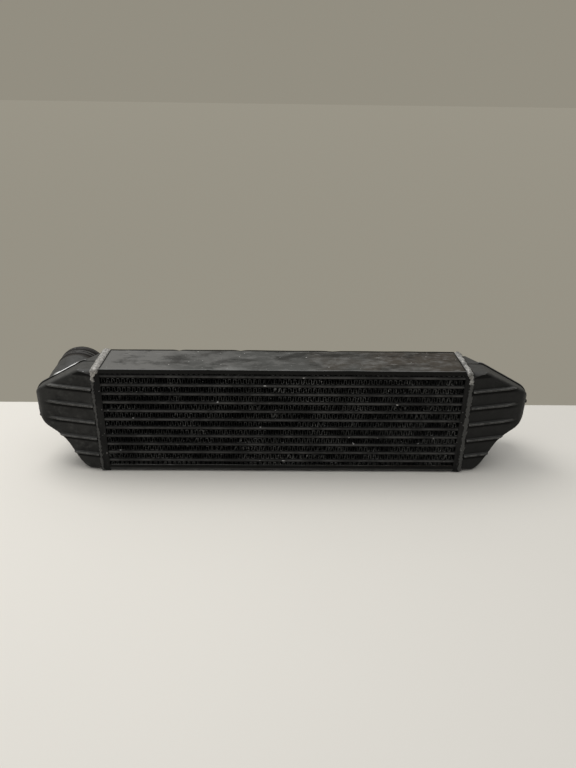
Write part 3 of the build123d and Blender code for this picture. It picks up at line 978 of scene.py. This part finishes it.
def cornerDrops(side, shape):
    half, top = layout["halfDepth"], layout["headerHeight"]
    rows = [("middle", 0.8, 0.6, 1.5, shape["half"] * 0.92, 2.6, 3.6, 1), *weldCorner]
    drops = []
    for front in (-1, 1):
        for start, out, inward, down, wide, deep, tall, rearShare in rows:
            at = (side * (shape[start] + out), front * (half - inward), top - down)
            drops.append(addDrop(at, (wide * (rearShare if front > 0 else 1), deep, tall)))
    return drops


def lineDrops(side, shape, dice):
    half, step = layout["halfDepth"], welds["lineStep"]
    drops = []
    z = welds["lineLow"]
    while z < layout["headerHeight"] - welds["lineTop"]:
        swell = shape["lineRadius"] * dice.uniform(0.65, 1.5)
        for front in (-1, 1):
            at = (side * (shape["lineX"] + dice.uniform(-0.45, 0.45)), front * (half - 0.6), z)
            drops.append(addDrop(at, (swell * 1.2, min(swell, 1.5), step * 0.95)))
        z += step * dice.uniform(0.8, 1.2)
    return drops


def footDrops(side, lineX):
    half = layout["halfDepth"]
    drops = [addDrop((side * (lineX + 0.4), y, 2.6), (2.7, 2.6, 2.1)) for y in (-half + 2.4, half - 2.4)]
    y = -half + welds["inset"]
    while y < half - 3:
        drops.append(addDrop((side * (lineX + 0.3), y, 1.9), (1.5, 1.6, 1.2)))
        y += welds["footStep"]
    return drops


def makeWeld(side, name, node, shape, finish, seed):
    dice = random.Random(seed)
    drops = topDrops(side, shape, dice) + cornerDrops(side, shape)
    drops += lineDrops(side, shape, dice) + footDrops(side, shape["lineX"])
    weld = drops[0]
    joinInto(weld, drops[1:])
    useModifier(weld, "REMESH", mode="VOXEL", voxel_size=welds["voxel"] * mm)
    useModifier(weld, "SMOOTH", factor=0.5, iterations=2)
    ripple(weld, cloudTexture(name + "Lumps", welds["lumpSize"]), shape["jitter"] * 0.6)
    smoothShade(weld, 60)
    hand(weld, name, [node], finish)


makeWeld(-1, "leftWeldBead", "left_weld_bead", welds["left"], leftWeld, 3)
makeWeld(1, "rightWeldBead", "right_weld_bead", welds["right"], rightWeld, 8)


# floor, light and camera; the floor and the backdrop behind it stand in for the room
room = {"floorSize": 40, "floor": (0.66, 0.628, 0.57), "farFloor": (0.31, 0.287, 0.235), "farY": 141.0,
        "backdrop": (0.29, 0.27, 0.22), "skyTop": 0.95, "skySide": 0.17, "skyTint": (0.96, 0.98, 1.0),
        "skyRise": (0.0, 0.95)}
lamps = {"key": {"spot": (-0.5, 0.2, 1.25), "power": 10.4, "size": 0.8},
         "fill": {"spot": (-1.0, -1.2, 1.0), "power": 1.8, "size": 1.6}}
lampsAim = (0, 0, 0.05)
# place in millimetres, angles in degrees, focal length in pixels of the longer side
camera = {"place": (-5.8, -699.0, 427.0), "yaw": -0.99, "pitch": 25.15, "roll": -0.82,
          "focal": 629.6, "longSide": 768, "sensor": 36}


def floorFinish():
    # pale where the cooler stands, darker from just behind it
    material, tree, shader, coords = newFinish("floorFinish", 0.2, 0.7)
    broad = speckle(coords, size=260, detail=3, rough=0.55)
    pale = blendColour(times(broad, 0.12), room["floor"], tuple(0.8 * c for c in room["floor"]))
    beyond = between(axisValue(coords, "Y"), room["farY"] * mm, (room["farY"] + 1) * mm)
    colour = blendColour(beyond, pale, room["farFloor"])
    # the eye sees the far part as the plain backdrop
    far = times(beyond, tree.nodes.new("ShaderNodeLightPath").outputs["Is Camera Ray"])
    tree.links.new(blendColour(far, colour, (0, 0, 0)), shader.inputs["Base Color"])
    shader.inputs["Emission Color"].default_value = (*room["backdrop"], 1)
    tree.links.new(far, shader.inputs["Emission Strength"])
    return material


def makeFloor():
    nothingSelected()
    bpy.ops.mesh.primitive_plane_add(size=room["floorSize"], location=(0, 0, 0))
    floor = bpy.context.object
    floor.name = "floor"
    floor.data.materials.append(floorFinish())


def makeSky():
    world = bpy.data.worlds.new("studio")
    world.use_nodes = True
    # a pale sky, brighter overhead than at the sides
    sky = world.node_tree
    height = axisValue(sky.nodes.new("ShaderNodeTexCoord").outputs["Generated"], "Z")
    side, top = (tuple(room[key] * c for c in room["skyTint"]) for key in ("skySide", "skyTop"))
    light = blendColour(between(height, *room["skyRise"]), side, top)
    # what the eye, gloss and glass see of it is one plain colour
    path = sky.nodes.new("ShaderNodeLightPath")
    seen = combine("MAXIMUM", path.outputs["Is Camera Ray"], path.outputs["Is Glossy Ray"])
    seen = combine("MAXIMUM", seen, path.outputs["Is Transmission Ray"])
    sky.links.new(blendColour(seen, light, room["backdrop"]), sky.nodes["Background"].inputs["Color"])
    bpy.context.scene.world = world


def makeLamps():
    for name, values in lamps.items():
        nothingSelected()
        bpy.ops.object.light_add(type="AREA", location=values["spot"])
        lamp = bpy.context.object
        lamp.name = name
        lamp.data.energy = values["power"]
        lamp.data.size = values["size"]
        lamp.rotation_euler = (Vector(lampsAim) - Vector(values["spot"])).to_track_quat("-Z", "Y").to_euler()


def makeCamera():
    yaw, pitch, roll = (math.radians(camera[key]) for key in ("yaw", "pitch", "roll"))
    forward = Vector((-math.sin(yaw) * math.cos(pitch), math.cos(yaw) * math.cos(pitch), -math.sin(pitch)))
    right = Vector((math.cos(yaw), math.sin(yaw), 0))
    down = forward.cross(right)
    turnedRight = right * math.cos(roll) + down * math.sin(roll)
    turnedDown = down * math.cos(roll) - right * math.sin(roll)
    nothingSelected()
    bpy.ops.object.camera_add()
    eye = bpy.context.object
    eye.name = "camera"
    eye.data.sensor_width = camera["sensor"]
    eye.data.lens = camera["focal"] * camera["sensor"] / camera["longSide"]
    axes = Matrix((turnedRight, -turnedDown, -forward)).transposed().to_4x4()
    eye.matrix_world = Matrix.Translation(Vector(camera["place"]) * mm) @ axes
    eye.data.clip_start = 0.01
    bpy.context.scene.camera = eye


makeFloor()
makeSky()
makeLamps()
makeCamera()
bpy.context.scene.view_settings.view_transform = "Standard"
print("room, light and camera ready")
